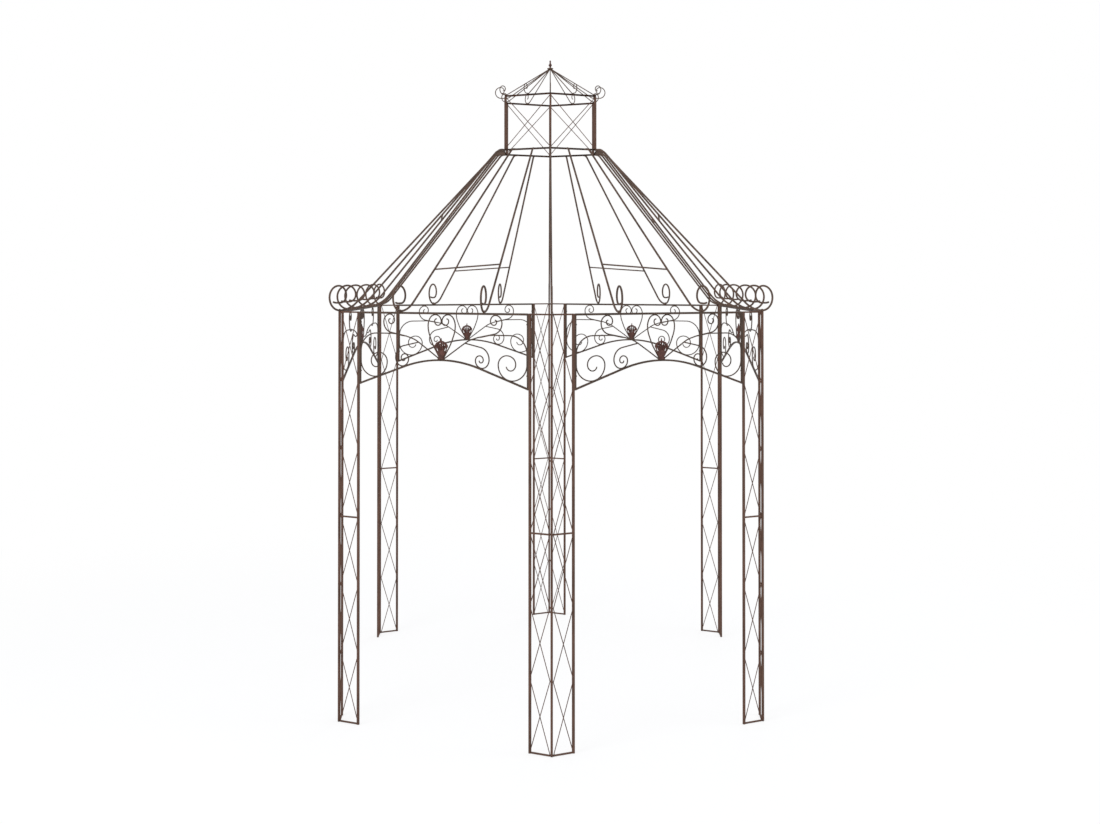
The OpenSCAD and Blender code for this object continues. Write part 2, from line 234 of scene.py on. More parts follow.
def painted(name, dark, brown, red, red_share, cloud, fleck, lift):
    """An antique brown paint. cloud and fleck are the noise scales per metre, lift is
    the height of the flecks in metres."""
    material = bpy.data.materials.new(name)
    material.use_nodes = True
    tree = material.node_tree
    place = add_node(tree, "TexCoord").outputs["Object"]
    clouds = add_node(tree, "TexNoise", Vector=place, Scale=cloud, Detail=5.0,
                      Roughness=0.6).outputs["Fac"]
    flecks = add_node(tree, "TexNoise", Vector=place, Scale=fleck, Detail=4.0,
                      Roughness=0.7).outputs["Fac"]
    coat = add_node(tree, "ValToRGB", Fac=clouds)
    stops = zip(coat.color_ramp.elements, (COAT_FROM, COAT_TO), (dark, brown))
    for stop, position, shade in stops:
        stop.position = position
        stop.color = (*shade, 1.0)
    brushed = add_node(tree, "MapRange", Value=flecks, From_Min=FLECK_FROM,
                       From_Max=FLECK_TO, To_Max=red_share)
    colour = add_node(tree, "Mix", how={"data_type": "RGBA"}, B=(*red, 1.0),
                      Factor=brushed.outputs["Result"], A=coat.outputs["Color"])
    dull = add_node(tree, "MapRange", Value=flecks, From_Min=DULL_FROM, From_Max=DULL_TO,
                    To_Min=ROUGH_FROM, To_Max=ROUGH_TO)
    bump = add_node(tree, "Bump", Height=flecks, Strength=BUMP, Distance=lift)
    paint = tree.nodes["Principled BSDF"]
    paint.inputs["Specular IOR Level"].default_value = DULL_SHEEN
    tree.links.new(colour.outputs["Result"], paint.inputs["Base Color"])
    tree.links.new(dull.outputs["Result"], paint.inputs["Roughness"])
    tree.links.new(bump.outputs["Normal"], paint.inputs["Normal"])
    return material


BAR_PAINT = painted("bar_paint", COAT_DARK, COAT_BROWN, RUST_RED, 0.45, 7.0, 420.0, 0.0006)
ROD_PAINT = painted("rod_paint", (0.066, 0.045, 0.034), (0.11, 0.071, 0.052), RUST_RED,
                    0.35, 9.0, 460.0, 0.0005)
WIRE_PAINT = painted("wire_paint", (0.05, 0.035, 0.026), (0.08, 0.054, 0.04), RUST_RED,
                     0.25, 11.0, 520.0, 0.0004)
CAST_PAINT = painted("cast_paint", (0.06, 0.03, 0.024), (0.112, 0.05, 0.04),
                     (0.19, 0.08, 0.055), 0.45, 38.0, 300.0, 0.0009)
print("finishes", [m.name for m in (BAR_PAINT, ROD_PAINT, WIRE_PAINT, CAST_PAINT)])

# %% [markdown]
# ## The plan
#
# Six posts stand at the corners of a long hexagon. Their places could be written down
# as numbers, but the frame's own boxes already say where they are: a post is square to
# its corner, so the middle of its box is the middle of the post. Everything else is
# placed from these corners, and fits if the plan changes.

# %% The corners
POSTS = ["front", "front_right", "back_right", "back", "back_left", "front_left"]
BAYS = ["front_right", "right", "back_right", "back_left", "left", "front_left"]
LONG_BAYS = (BAYS.index("right"), BAYS.index("left"))
COS_30 = math.cos(math.radians(30.0))


def middle_of(node):
    low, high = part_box(node)
    return (low + high) / 2.0


CORNERS = [middle_of(f"{name}_post").to_2d() for name in POSTS]
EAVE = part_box("front_post")[1].z
RING_Z = middle_of("lantern_base_ring").z


def heading(vector):
    """The direction of a vector on the plan or on a sheet, in radians."""
    return math.atan2(vector[1], vector[0])


def bay_point(points, i, share):
    """A point on side i of a hexagon, some share of the way from its first corner."""
    return points[i].lerp(points[(i + 1) % 6], share)


def bay_vector(i):
    """From the post that a bay starts at to the post that it ends at."""
    return CORNERS[(i + 1) % 6] - CORNERS[i]


def bay_length(i):
    return bay_vector(i).length


def bay_heading(i):
    return heading(bay_vector(i))


def corner_heading(i):
    """The direction straight out of a corner, which halves the corner's angle."""
    return math.radians(60.0 * i - 90.0)


for i, name in enumerate(BAYS):
    print(name, "bay", round(bay_length(i), 3), "m")

# %% [markdown]
# ## Bars, bent on a former
#
# A smith draws a scroll flat on the bench and bends the bar along it. This lesson does
# the same: a bar is drawn on a sheet, with X along the sheet and Y up it, as a chain of
# straight runs and bends. First come the sections that are swept along it: squares with
# rounded corners for tube and flat bar, and circles of few sides for rod and wire.

# %% Sections
MM = 0.001


def section(name, size, sides, corner=0.0):
    """A flat face to sweep: round where corner is 0, else a square with that corner."""
    bm = bmesh.new()
    across = size if corner == 0.0 else size * math.sqrt(2.0)
    turn = Matrix.Rotation(math.pi / sides, 4, "Z")
    bmesh.ops.create_circle(bm, cap_ends=True, segments=sides, radius=across / 2.0,
                            matrix=turn)
    if corner > 0.0:
        bmesh.ops.bevel(bm, geom=bm.verts[:], offset=corner, offset_type="OFFSET",
                        affect="VERTICES", segments=2, profile=0.5, material=-1)
    mesh = bpy.data.meshes.new(name)
    bm.to_mesh(mesh)
    bm.free()
    print(name, len(mesh.vertices), "corners")
    return mesh


TUBE = section("tube_section", 13 * MM, 4, 1.6 * MM)
FLAT = section("frame_section", 11.8 * MM, 4, 1.1 * MM)
ARCH = section("arch_section", 10.4 * MM, 4, 1.0 * MM)
LEVEL = section("level_section", 9 * MM, 4, 0.9 * MM)
ROD = section("rod_section", 11.8 * MM, 12)
TIE = section("tie_section", 9.2 * MM, 10)
SCROLL = section("scroll_section", 7.4 * MM, 8)
CROSS = section("cross_section", 4.8 * MM, 8)


# %% [markdown]
# ## Sweeping a section
#
# A curve object with a bevel could make these bars, but its width and its tip are hard
# to hold at a tight bend. With bmesh's spin every bend is a true arc, which turns for a
# bend and slides for a straight run. Only the ring of edges at the bar's open end is
# carried from one step to the next, and it can shrink a little on the way. A rounded
# tip is two short, shrinking slides.

# %% Sweeping a section
TIP_STEPS = ((0.5, 0.84), (0.35, 0.5))


def on_sheet(point):
    """A point of two or three numbers as a vector on the sheet."""
    return Vector((*point, 0.0)[:3])


def set_across(place, way):
    """The matrix that sets a section across a bar that starts at place, heading way."""
    c, s = math.cos(way), math.sin(way)
    return Matrix(((-s, 0.0, c, place.x), (c, 0.0, s, place.y), (0.0, 1.0, 0.0, place.z),
                   (0.0, 0.0, 0.0, 1.0)))


def add_section(bm, profile, place, way):
    """Adds the section's face and returns the edges round it."""
    before = set(bm.verts)
    bm.from_mesh(profile)
    corners = [v for v in bm.verts if v not in before]
    bmesh.ops.transform(bm, matrix=set_across(place, way), verts=corners)
    return list(corners[0].link_faces[0].edges)


def shrink(bm, last, scale):
    """Scales the last ring about its middle, and returns its edges."""
    corners = [v for v in last if isinstance(v, bmesh.types.BMVert)]
    if scale != 1.0:
        middle = sum((v.co for v in corners), Vector()) / len(corners)
        bmesh.ops.scale(bm, vec=(scale,) * 3, verts=corners,
                        space=Matrix.Translation(-middle))
    return [e for e in last if isinstance(e, bmesh.types.BMEdge)]


def slide(bm, ring, move, scale=1.0):
    """Draws a ring of edges straight on, and scales its far end about its middle."""
    out = bmesh.ops.spin(bm, geom=ring, cent=(0, 0, 0), axis=(0, 0, 1), dvec=move,
                         angle=0.0, steps=1, use_duplicate=False)
    return shrink(bm, out["geom_last"], scale)


def bend(bm, ring, centre, angle, count, scale):
    """Turns a ring of edges about centre in count steps, and scales it at each."""
    rounds = [(angle, count)] if scale == 1.0 else [(angle / count, 1)] * count
    for turn, steps in rounds:
        out = bmesh.ops.spin(bm, geom=ring, cent=centre, axis=(0, 0, 1), dvec=(0, 0, 0),
                             angle=turn, steps=steps, use_duplicate=False)
        ring = shrink(bm, out["geom_last"], scale)
    return ring


def sweep(bm, profile, place, way, steps, chord=9.0, taper=1.0, tip=0.0):
    """Bends a bar along steps, each (0, length) or (radius, degrees): a positive radius
    bends left. A bend is made of chords of about that many degrees. taper is the end's
    width as a share, reached over the bends. tip is the radius of a rounded end, or 0
    for a sawn one. Returns the end's place and heading."""
    place = on_sheet(place)
    ring = add_section(bm, profile, place, way)
    pieces = sum(max(1, math.ceil(s[1] / chord)) for s in steps if s[0] != 0)
    scale = taper ** (1.0 / pieces) if pieces else 1.0
    for radius, amount in steps:
        ahead = Vector((math.cos(way), math.sin(way), 0.0))
        if radius == 0:
            ring = slide(bm, ring, ahead * amount)
            place = place + ahead * amount
            continue
        centre = place + radius * Vector((-ahead.y, ahead.x, 0.0))
        count = max(1, math.ceil(amount / chord))
        angle = math.radians(math.copysign(amount, radius))
        ring = bend(bm, ring, centre, angle, count, scale)
        way += angle
        place = centre + radius * Vector((math.sin(way), -math.cos(way), 0.0))
    if tip > 0.0:
        ahead = Vector((math.cos(way), math.sin(way), 0.0))
        for share, scale in TIP_STEPS:
            ring = slide(bm, ring, ahead * tip * share, scale)
    bmesh.ops.edgeloop_fill(bm, edges=ring)
    return place, way


def rod_between(bm, profile, start, end):
    """A straight bar on the sheet between two points."""
    a, b = on_sheet(start), on_sheet(end)
    ring = add_section(bm, profile, a, heading(b - a))
    ring = slide(bm, ring, b - a)
    bmesh.ops.edgeloop_fill(bm, edges=ring)


# %% [markdown]
# ## Welds and bolts
#
# Wherever two bars meet, the maker left a small lump of weld, and a few places have a
# bolt. A lump only needs a ball of a few faces, stretched, and turned by its place so
# that no two look alike. A bolt is a thin washer and a six-sided head, whose top face
# is inset and raised for the chamfer.

# %% Weld beads and bolts
BEAD_STRETCH = (1.25, 0.85, 1.0, 1.0)
BEAD_AXIS = (0.3, 0.5, 0.8)
BOLT_HIGH = 4 * MM
WASHER_THICK = 0.8 * MM
WASHER_SHARES = (0.72, 0.66)
CHAMFER, CHAMFER_HIGH = 0.7 * MM, 0.5 * MM


def bead(bm, place, size):
    """A lump of weld: a low ball, a little uneven."""
    turn = place[0] * 90.0 + place[1] * 57.0
    spot = Matrix.Translation(on_sheet(place)) @ Matrix.Rotation(turn, 4, BEAD_AXIS)
    bmesh.ops.create_icosphere(bm, subdivisions=1, radius=size,
                               matrix=spot @ Matrix.Diagonal(BEAD_STRETCH))


def bolt(bm, place, axis, across):
    """A hexagon bolt head with a chamfered top, on a surface at place, along axis."""
    aim = Vector(axis).to_track_quat("Z", "Y").to_matrix().to_4x4()
    spot = Matrix.Translation(Vector(place)) @ aim
    low, high = (across * share for share in WASHER_SHARES)
    bmesh.ops.create_cone(bm, cap_ends=True, segments=16, radius1=low, radius2=high,
                          depth=WASHER_THICK,
                          matrix=spot @ Matrix.Translation((0, 0, WASHER_THICK / 2)))
    radius = across / 2 / COS_30
    head = bmesh.ops.create_cone(bm, cap_ends=True, segments=6, radius1=radius,
                                 radius2=radius, depth=BOLT_HIGH,
                                 matrix=spot @ Matrix.Translation((0, 0, BOLT_HIGH / 2)))
    top = max((f for v in head["verts"] for f in v.link_faces),
              key=lambda f: (spot.inverted() @ f.calc_center_median()).z)
    bmesh.ops.inset_region(bm, faces=[top], thickness=CHAMFER, depth=CHAMFER_HIGH)


# %% [markdown]
# ## From a drawing to a piece
#
# A drawing lies flat, so one matrix stands it up, turns it and places it. An object's
# own location could do that, but here every object stays at the origin and its mesh
# holds the place, so that a finish keeps its grain from one piece to the next. Faces are
# turned outwards, and shading is smooth except over sharp edges.

# %% Finishing a piece
SHARP = math.radians(42.0)
IN_PLACE = Matrix.Identity(4)


def stand(origin, way):
    """Stands a sheet up: X along a compass heading, Y up, Z out to the right of it."""
    c, s = math.cos(way), math.sin(way)
    return Matrix(((c, 0.0, s, origin[0]), (s, 0.0, -c, origin[1]),
                   (0.0, 1.0, 0.0, origin[2]), (0.0, 0.0, 0.0, 1.0)))


def add_drawing(bm, drawing, placing):
    """Adds a finished drawing to a bigger piece, in its place."""
    bmesh.ops.transform(drawing, matrix=placing, verts=drawing.verts)
    part = bpy.data.meshes.new("drawing")
    drawing.to_mesh(part)
    drawing.free()
    bm.from_mesh(part)
    bpy.data.meshes.remove(part)


def piece(name, bm, placing, finish, node):
    """Makes an object of a drawing, in its place, that stands for a measured node."""
    bmesh.ops.transform(bm, matrix=placing, verts=bm.verts)
    bmesh.ops.recalc_face_normals(bm, faces=bm.faces)
    for face in bm.faces:
        face.smooth = True
    mesh = bpy.data.meshes.new(name)
    bm.to_mesh(mesh)
    bm.free()
    mesh.set_sharp_from_angle(angle=SHARP)
    mesh.materials.append(finish)
    obj = bpy.data.objects.new(name, mesh)
    scene.collection.objects.link(obj)
    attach(obj, "root")
    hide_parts(node)
    print(name, len(mesh.polygons), "faces")


# %% [markdown]
# ## The posts
#
# Each post is a square steel tube with rounded corners, closed on top by a pressed cap
# and shod with a thin plate at the foot. It could be a stretched cube, but its edges
# would then never catch the light. Here the rounded tube section is swept up the post.

# %% Posts
UP = math.radians(90.0)
CAP_PLATE = 1.5 * MM
FOOT_PLATE = 3 * MM
CAP_SHAPE = section("cap_section", 12.4 * MM, 4, 1.8 * MM)
FOOT_SHAPE = section("foot_section", 13.0 * MM, 4, 2.0 * MM)

for i, name in enumerate(POSTS):
    bm = bmesh.new()
    sweep(bm, TUBE, (0.0, 0.0), UP, [(0, EAVE - CAP_PLATE)])
    sweep(bm, CAP_SHAPE, (0.0, EAVE - CAP_PLATE), UP, [(0, CAP_PLATE)])
    sweep(bm, FOOT_SHAPE, (0.0, 0.0), UP, [(0, FOOT_PLATE)])
    piece(f"{name}_post_tube", bm, stand((*CORNERS[i], 0.0), corner_heading(i) + UP),
          BAR_PAINT, f"{name}_post")

# %% [markdown]
# ## The lattices
#
# A flat lattice runs from each side of a post: an outer tube, three level bars, and
# thin wires that cross in tall cells. A wireframe modifier could draw the cells, but
# with all wires in one plane. In the real lattice the crossed wires lie one in front of
# the other and are pressed together by a spot weld, so here each is moved a little less
# than its own radius out of the middle. Small beads sit at the crossings and the ends.

# %% Lattices
LATTICE_W = 136 * MM
CELLS = 3
FOOT_BAR = 5 * MM
TUBE_W = 12 * MM
LEVEL_W = 8 * MM
WIRE_W = 4 * MM
WIRE_ASIDE = 0.42 * WIRE_W
FIT = 0.2 * MM
LEVEL_BEAD, CROSS_BEAD, END_BEAD = 2.4 * MM, 2.2 * MM, 2.8 * MM
TUBE_SIDE = LATTICE_W - 7 * MM


def clear_of_post(width):
    """How far out along a bay a bar of some width is free of the turned post."""
    return (TUBE_W / 2 + width / 4) / COS_30 + FIT


def lattice_cell(bm, left, low, high):
    """Two crossed wires with a bead at the crossing and one at each end."""
    rod_between(bm, CROSS, (left, low, WIRE_ASIDE), (LATTICE_W, high, WIRE_ASIDE))
    rod_between(bm, CROSS, (left, high, -WIRE_ASIDE), (LATTICE_W, low, -WIRE_ASIDE))
    bead(bm, ((left + LATTICE_W) / 2, (low + high) / 2), CROSS_BEAD)
    for x in (left - 1 * MM, TUBE_SIDE):
        for y in (low, high):
            bead(bm, (x, y), END_BEAD)


def lattice_drawing():
    bm = bmesh.new()
    top = EAVE - LEVEL_W / 2
    middle = (FOOT_BAR + top) / 2
    cell = (middle - FOOT_BAR) / CELLS
    near = clear_of_post(LEVEL_W)
    sweep(bm, TUBE, (LATTICE_W, 0.0), UP, [(0, EAVE)])
    for y in (FOOT_BAR, middle, top):
        sweep(bm, LEVEL, (near, y), 0.0, [(0, LATTICE_W - near)])
        for x in (near + 1 * MM, TUBE_SIDE):
            bead(bm, (x, y - 3 * MM, 3 * MM), LEVEL_BEAD)
    for k in range(2 * CELLS):
        lattice_cell(bm, clear_of_post(WIRE_W) + WIRE_W / 2, FOOT_BAR + k * cell,
                     FOOT_BAR + (k + 1) * cell)
    return bm


for i, name in enumerate(POSTS):
    for side, way in (("left", bay_heading((i + 5) % 6) + math.pi), ("right", bay_heading(i))):
        node = f"{name}_post_{side}_lattice"
        piece(node + "_panel", lattice_drawing(), stand((*CORNERS[i], 0.0), way),
              BAR_PAINT, node)

# %% [markdown]
# ## Scrolls
#
# A hand-bent scroll is a smooth curve whose bend tightens towards its eye. Drawn as a
# spline it would need many points, so a few nodes say where the wire passes and which
# way it heads, and two arcs that share a tangent join each pair of nodes. Those arcs
# are the bends that the sweep follows. The wire thins a little towards its eye.

# %% Curves through nodes
STRAIGHT = 0.05
SCROLL_TAPER = 0.92
SCROLL_TIP = 2.6 * MM


def wrap(angle):
    """The same angle between -180 and 180 degrees."""
    return angle - 360.0 * math.floor((angle + 180.0) / 360.0)


def arc_to(start, way, end):
    """The one arc that leaves start heading way, in degrees, and passes through end."""
    v = end - start
    off = wrap(math.degrees(heading(v)) - way)
    if abs(off) < STRAIGHT:
        return (0, v.length)
    return (v.length / (2.0 * math.sin(math.radians(off))), 2.0 * abs(off))


def two_arcs(a, b):
    """Two arcs from node a to node b that meet in a point where they share a tangent."""
    p, q = Vector(a[:2]), Vector(b[:2])
    t = Vector((math.cos(math.radians(a[2])), math.sin(math.radians(a[2]))))
    u = Vector((math.cos(math.radians(b[2])), math.sin(math.radians(b[2]))))
    v = q - p
    k, s = 2.0 * (1.0 - t.dot(u)), v.dot(t + u)
    if k < 1e-6:
        reach = v.dot(v) / (4.0 * v.dot(u))
    else:
        reach = (math.sqrt(s * s + k * v.dot(v)) - s) / k
    middle = (p + q + reach * (t - u)) / 2.0
    first = arc_to(p, a[2], middle)
    turned = 0.0 if first[0] == 0 else math.copysign(first[1], first[0])
    return [first, arc_to(middle, a[2] + turned, q)]


def scroll(bm, nodes):
    """Bends scroll wire through nodes (x, y, heading in degrees), in millimetres."""
    nodes = [(x * MM, y * MM, way) for x, y, way in nodes]
    steps = [s for a, b in zip(nodes, nodes[1:]) for s in two_arcs(a, b)]
    sweep(bm, SCROLL, nodes[0][:2], math.radians(nodes[0][2]), steps, chord=8.0,
          taper=SCROLL_TAPER, tip=SCROLL_TIP)


# %% [markdown]
# ## The friezes
#
# A frieze hangs between two lattices: two end bars, a top bar level with the eave, and
# a low arch. On the arch, scrolls open like a plant from the middle: a heart, a long
# stem that ends in an upper curl, a branch that falls to a small low curl, and a branch
# that runs out, down the end bar and into the great curl. A side bay is longer, so its
# stems stretch with the bay while its curls widen less.

# %% Frieze sizes
FRAME_W = 10 * MM
SCROLL_W = 6 * MM
WELD = 0.6 * MM
DROP = 417 * MM
SHORT_RISE, LONG_RISE = 145 * MM, 185 * MM
STEEPNESS = 1.3


def frieze_half(i):
    """From the middle of a frieze to the middle of its end bar."""
    return bay_length(i) / 2 - LATTICE_W - TUBE_W / 2 - FRAME_W / 2 - FIT


def arch_of(i):
    """A bay's arch: its slope, its rounded crown's half width and radius, its rise."""
    rise = LONG_RISE if i in LONG_BAYS else SHORT_RISE
    half = frieze_half(i)
    slope = math.atan(STEEPNESS * rise / half)
    crown = (half * math.tan(slope) - rise) / (math.tan(slope) - math.tan(slope / 2))
    return slope, crown, crown / math.sin(slope), rise


def arch_y(i, x):
    """The height of an arch's centre line at x, measured from the eave."""
    slope, crown, radius, rise = arch_of(i)
    low = FRAME_W / 2 - DROP
    if abs(x) < crown:
        return low + rise - radius + math.sqrt(radius * radius - x * x)
    return low + (frieze_half(i) - abs(x)) * math.tan(slope)


# %% [markdown]
# Each wire of a half frieze is a list of nodes, in millimetres, so that it reads like a
# drawing on the bench. A weld bead sits wherever a wire touches another or the frame.

# %% Scrolls of a frieze
SCROLL_BEAD = 3.6 * MM


def half_scrolls(bm, i):
    """The scrolls of one half, in millimetres from the middle of the eave. stretch
    follows the bay's length, and w, its root, the width of the curls. under, on_arch
    and edge_x are where a wire's middle lies when it touches a bar."""
    stretch = frieze_half(i) / frieze_half(0)
    w = math.sqrt(stretch)
    under = (WELD - FRAME_W - SCROLL_W / 2) / MM
    on_arch = (FRAME_W / 2 + SCROLL_W / 2 - WELD) / MM
    edge_x = frieze_half(i) / MM - on_arch
    apex = arch_y(i, 0.0) / MM
    low_x, big_x, high_x = 268 * stretch, 460 * stretch, 354 * stretch
    low_y = arch_y(i, low_x * MM) / MM + on_arch
    big_y = arch_y(i, big_x * MM) / MM + on_arch
    fork = (155 * stretch, -169, 33 / w)
    spring = (240 * stretch, -136, 13 / w)

    heart = [(8, apex + 2, 62), (66 * w, -165, 66), (91 * w, -75, 90), (42 * w, under, 180),
             (2.6, -50, 270), (24 * w, -72, 360), (47 * w, -49, 450), (34 * w, -36, 550)]
    stem = [(8, apex + 2, 34), fork, spring, (high_x + 42 * w, -56, 90),
            (high_x, under, 180), (high_x - 32 * w, -45, 270), (high_x - 10 * w, -67, 360),
            (high_x + 8 * w, -49, 450), (high_x - 2 * w, -39, 540)]
    low_curl = [(fork[0], fork[1], -10), (low_x + 45 * w, low_y + 48, -90),
                (low_x, low_y, -180), (low_x - 44 * w, low_y + 42, -270),
                (low_x - 17 * w, low_y + 69, -360), (low_x + 7 * w, low_y + 46, -450),
                (low_x - 8 * w, low_y + 30, -540), (low_x - 19 * w, low_y + 41, -630)]
    great_curl = [(spring[0], spring[1], 3), (spring[0] + 100 * stretch, -122, 0),
                  (450 * stretch, -122, 0), (edge_x, -222, -90), (edge_x, big_y + 90, -90),
                  (big_x, big_y, -180), (big_x - 88 * w, big_y + 86, -270),
                  (big_x - 33 * w, big_y + 138, -360), (big_x + 24 * w, big_y + 90, -450),
                  (big_x - 9 * w, big_y + 55, -540), (big_x - 36 * w, big_y + 76, -615)]
    for wire in (heart, stem, low_curl, great_curl):
        scroll(bm, wire)
    touches = [(42 * w, under), (high_x, under), (low_x, low_y - 2), (big_x, big_y - 2),
               (edge_x + 2, -235), (edge_x + 2, big_y + 96), (fork[0], fork[1]),
               (spring[0], spring[1]), (14, apex + 6)]
    for x, y in touches:
        bead(bm, (x * MM, y * MM), SCROLL_BEAD)


def mirror_copy(bm):
    """Adds the other half, mirrored across the middle of the bay."""
    made = bmesh.ops.duplicate(bm, geom=bm.verts[:] + bm.edges[:] + bm.faces[:])
    corners = [v for v in made["geom"] if isinstance(v, bmesh.types.BMVert)]
    faces = [f for f in made["geom"] if isinstance(f, bmesh.types.BMFace)]
    bmesh.ops.scale(bm, vec=(-1.0, 1.0, 1.0), verts=corners)
    bmesh.ops.reverse_faces(bm, faces=faces)


# %% [markdown]
# The half drawing gets its end bar, with two bolts to the lattice and welds at its
# corners. It is mirrored, and only then come the arch and the top bar, because they run
# through the middle in one piece.

# %% Friezes
BOLT_HEIGHTS = (-60 * MM, -340 * MM)
FRIEZE_BOLT = 9 * MM
CORNER_BEAD, CORNER_ASIDE = 2.6 * MM, 3.6 * MM


def frieze_drawing(i):
    bm = bmesh.new()
    half_scrolls(bm, i)
    half = frieze_half(i)
    inside = half - FRAME_W / 2
    sweep(bm, FLAT, (half, -DROP), UP, [(0, DROP)])
    for y in BOLT_HEIGHTS:
        bolt(bm, (inside, y, 0.0), (-1.0, 0.0, 0.0), FRIEZE_BOLT)
    for y in (-FRAME_W, FRAME_W - DROP):
        for z in (CORNER_ASIDE, -CORNER_ASIDE):
            bead(bm, (inside - 1 * MM, y, z), CORNER_BEAD)
    mirror_copy(bm)
    slope, crown, radius, _ = arch_of(i)
    run = (half - crown) / math.cos(slope)
    sweep(bm, ARCH, (-half, FRAME_W / 2 - DROP), slope,
          [(0, run), (-radius, math.degrees(2 * slope)), (0, run)], chord=2.5)
    sweep(bm, FLAT, (FRAME_W / 2 - half, -FRAME_W / 2), 0.0, [(0, 2 * half - FRAME_W)])
    return bm


def bay_place(i):
    """Stands a sheet in the middle of a bay, with its origin at the eave."""
    return stand((*bay_point(CORNERS, i, 0.5), EAVE), bay_heading(i))


for i, name in enumerate(BAYS):
    piece(f"{name}_frieze_scrolls", frieze_drawing(i), bay_place(i), WIRE_PAINT,
          f"{name}_frieze")

# %% [markdown]
# ## The shells
#
# A cast iron shell covers the place where the scrolls leave the arch: a swelling cup,
# from which ribs fan out to a rim of six lobes, with air between them and a small point
# on top. An arm on each side runs down from the rim to the cup's waist. Sculpting could
# make it softer, but six equal shells are easier from simple forms: the cup is an oval
# that spin lifts step by step, the ribs are long drops, the lobes and arms are bent
# rods, and balls close the joints of the rim.

# %% The shell's cup
CUP = ((5, 24, 5), (9, 25, 6), (12, 16, 6), (18, 15.5, 7), (24, 20, 8), (32, 24, 9),
       (43, 25.5, 8.5), (51, 24.5, 7.5), (56, 20, 5), (57.5, 14, 3))


def cup(bm):
    """An oval that swells and narrows as it rises. CUP lists its height, half width and
    half depth in millimetres."""
    up, wide, deep = CUP[0]
    ring = bmesh.ops.create_circle(bm, cap_ends=True, segments=20, radius=MM,
                                   matrix=Matrix.Rotation(-math.pi / 2, 4, "X"))
    corners = ring["verts"]
    bmesh.ops.scale(bm, vec=(wide, 1.0, deep), verts=corners)
    bmesh.ops.translate(bm, vec=(0.0, up * MM, 0.0), verts=corners)
    edges = list(corners[0].link_faces[0].edges)
    for lower, upper in zip(CUP, CUP[1:]):
        out = bmesh.ops.spin(bm, geom=edges, cent=(0, 0, 0), axis=(0, 0, 1),
                             dvec=(0.0, (upper[0] - lower[0]) * MM, 0.0), angle=0.0,
                             steps=1, use_duplicate=False)
        last = out["geom_last"]
        corners = [v for v in last if isinstance(v, bmesh.types.BMVert)]
        bmesh.ops.scale(bm, vec=(upper[1] / lower[1], 1.0, upper[2] / lower[2]),
                        verts=corners)
        edges = [e for e in last if isinstance(e, bmesh.types.BMEdge)]
    bmesh.ops.edgeloop_fill(bm, edges=edges)


# %% [markdown]
# The fan's ribs stand between the head of the cup and the rim's middle line.

# %% The shell's fan
RIM_UP, RIM_WIDE, RIM_TALL = 72 * MM, 37 * MM, 28.5 * MM
RIB_ANGLES = (-84, -56, -28, 0, 28, 56, 84)
RIB_ROOT_R, RIB_ROOT_UP = 17 * MM, 49 * MM
RIB_W = 10.5 * MM
RIB_THIN, RIB_LONG, RIB_NARROWING = 0.9, 1.15, 0.4


def rim_point(angle):
    """A point on the rim's middle line, an oval round the head of the cup."""
    a = math.radians(angle)
    return Vector((RIM_WIDE * math.sin(a), RIM_UP + RIM_TALL * math.cos(a)))


def rib(bm, angle):
    """A rib of the fan: a long drop that is broadest towards the rim."""
    root = Vector((RIB_ROOT_R * math.sin(math.radians(angle)), RIB_ROOT_UP))
    tip = rim_point(angle)
    along = tip - root
    spot = (Matrix.Translation(on_sheet((root + tip) / 2))
            @ Matrix.Rotation(heading(along), 4, "Z") @ Matrix.Rotation(UP, 4, "Y")
            @ Matrix.Diagonal((RIB_W * RIB_THIN, RIB_W, along.length * RIB_LONG, 1.0)))
    made = bmesh.ops.create_uvsphere(bm, u_segments=8, v_segments=9, radius=0.5)
    for corner in made["verts"]:
        if corner.co.z < 0.0:
            corner.co.xy *= 1.0 + RIB_NARROWING * corner.co.z
    bmesh.ops.transform(bm, matrix=spot, verts=made["verts"])


# %% [markdown]
# The rim's lobes, the arms and the point complete the drawing. All of it is then made
# deeper and moved outwards a little, so that the shell stands proud of the wires.

# %% The shells
RIM = section("rim_section", 11.5 * MM, 10)
ARM = section("arm_section", 7 * MM, 8)
RIM_BALL = 6.3 * MM
LOBE = 50.0
ARM_FOOT = (14 * MM, 24 * MM)
ARM_LEAN = 40.0
POINT_FOOT_R, POINT_TOP_R, POINT_LONG = 5 * MM, 1.8 * MM, 22 * MM
POINT_UP = RIM_UP + RIM_TALL + 12 * MM
DEEPEN = 1.4
SHELL_OUT = 4 * MM


def arm(bm, side):
    """A rod from the cup's waist to one end of the rim, on side -1 or 1."""
    foot = Vector((side * ARM_FOOT[0], ARM_FOOT[1]))
    way = 90.0 - side * ARM_LEAN
    end = rim_point(side * RIB_ANGLES[-1])
    sweep(bm, ARM, foot, math.radians(way), [arc_to(foot, way, end)], chord=12.0)


def lobe(bm, start, end):
    """A bent rod that bulges out between two points of the rim."""
    radius = (end - start).length / 2 / math.sin(math.radians(LOBE))
    sweep(bm, RIM, start, heading(end - start) + math.radians(LOBE),
          [(-radius, 2 * LOBE)], chord=16.0)


